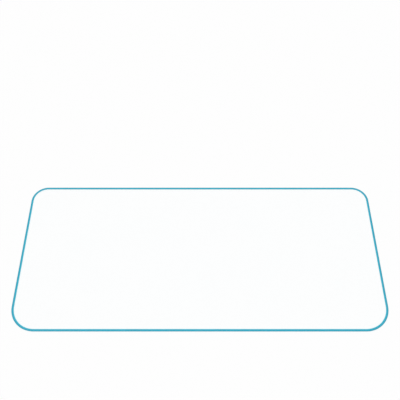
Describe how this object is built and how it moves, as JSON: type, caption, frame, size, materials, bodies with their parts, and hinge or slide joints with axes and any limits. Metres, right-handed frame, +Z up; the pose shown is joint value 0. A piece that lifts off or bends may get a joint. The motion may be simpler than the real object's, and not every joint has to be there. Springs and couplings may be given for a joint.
{
  "type": "car screen protector",
  "caption": "Clear rounded-rectangle glass sheet with a blue arc-ground edge, laid over a wide car display to guard it from scratches.",
  "frame": {"origin": "middle of the adhesive underside, on the surface that the sheet lies on", "axes": "+X across the display (the long side), +Y towards the display's upper edge, +Z up through the glass, out of its touch face"},
  "size_m": [0.264, 0.117, 0.0003],
  "materials": {
    "clear_glass": "clear polished glass with a blue tint in its ground edge"
  },
  "bodies": {
    "root": {"glass_sheet": "clear_glass"}
  },
  "joints": []
}
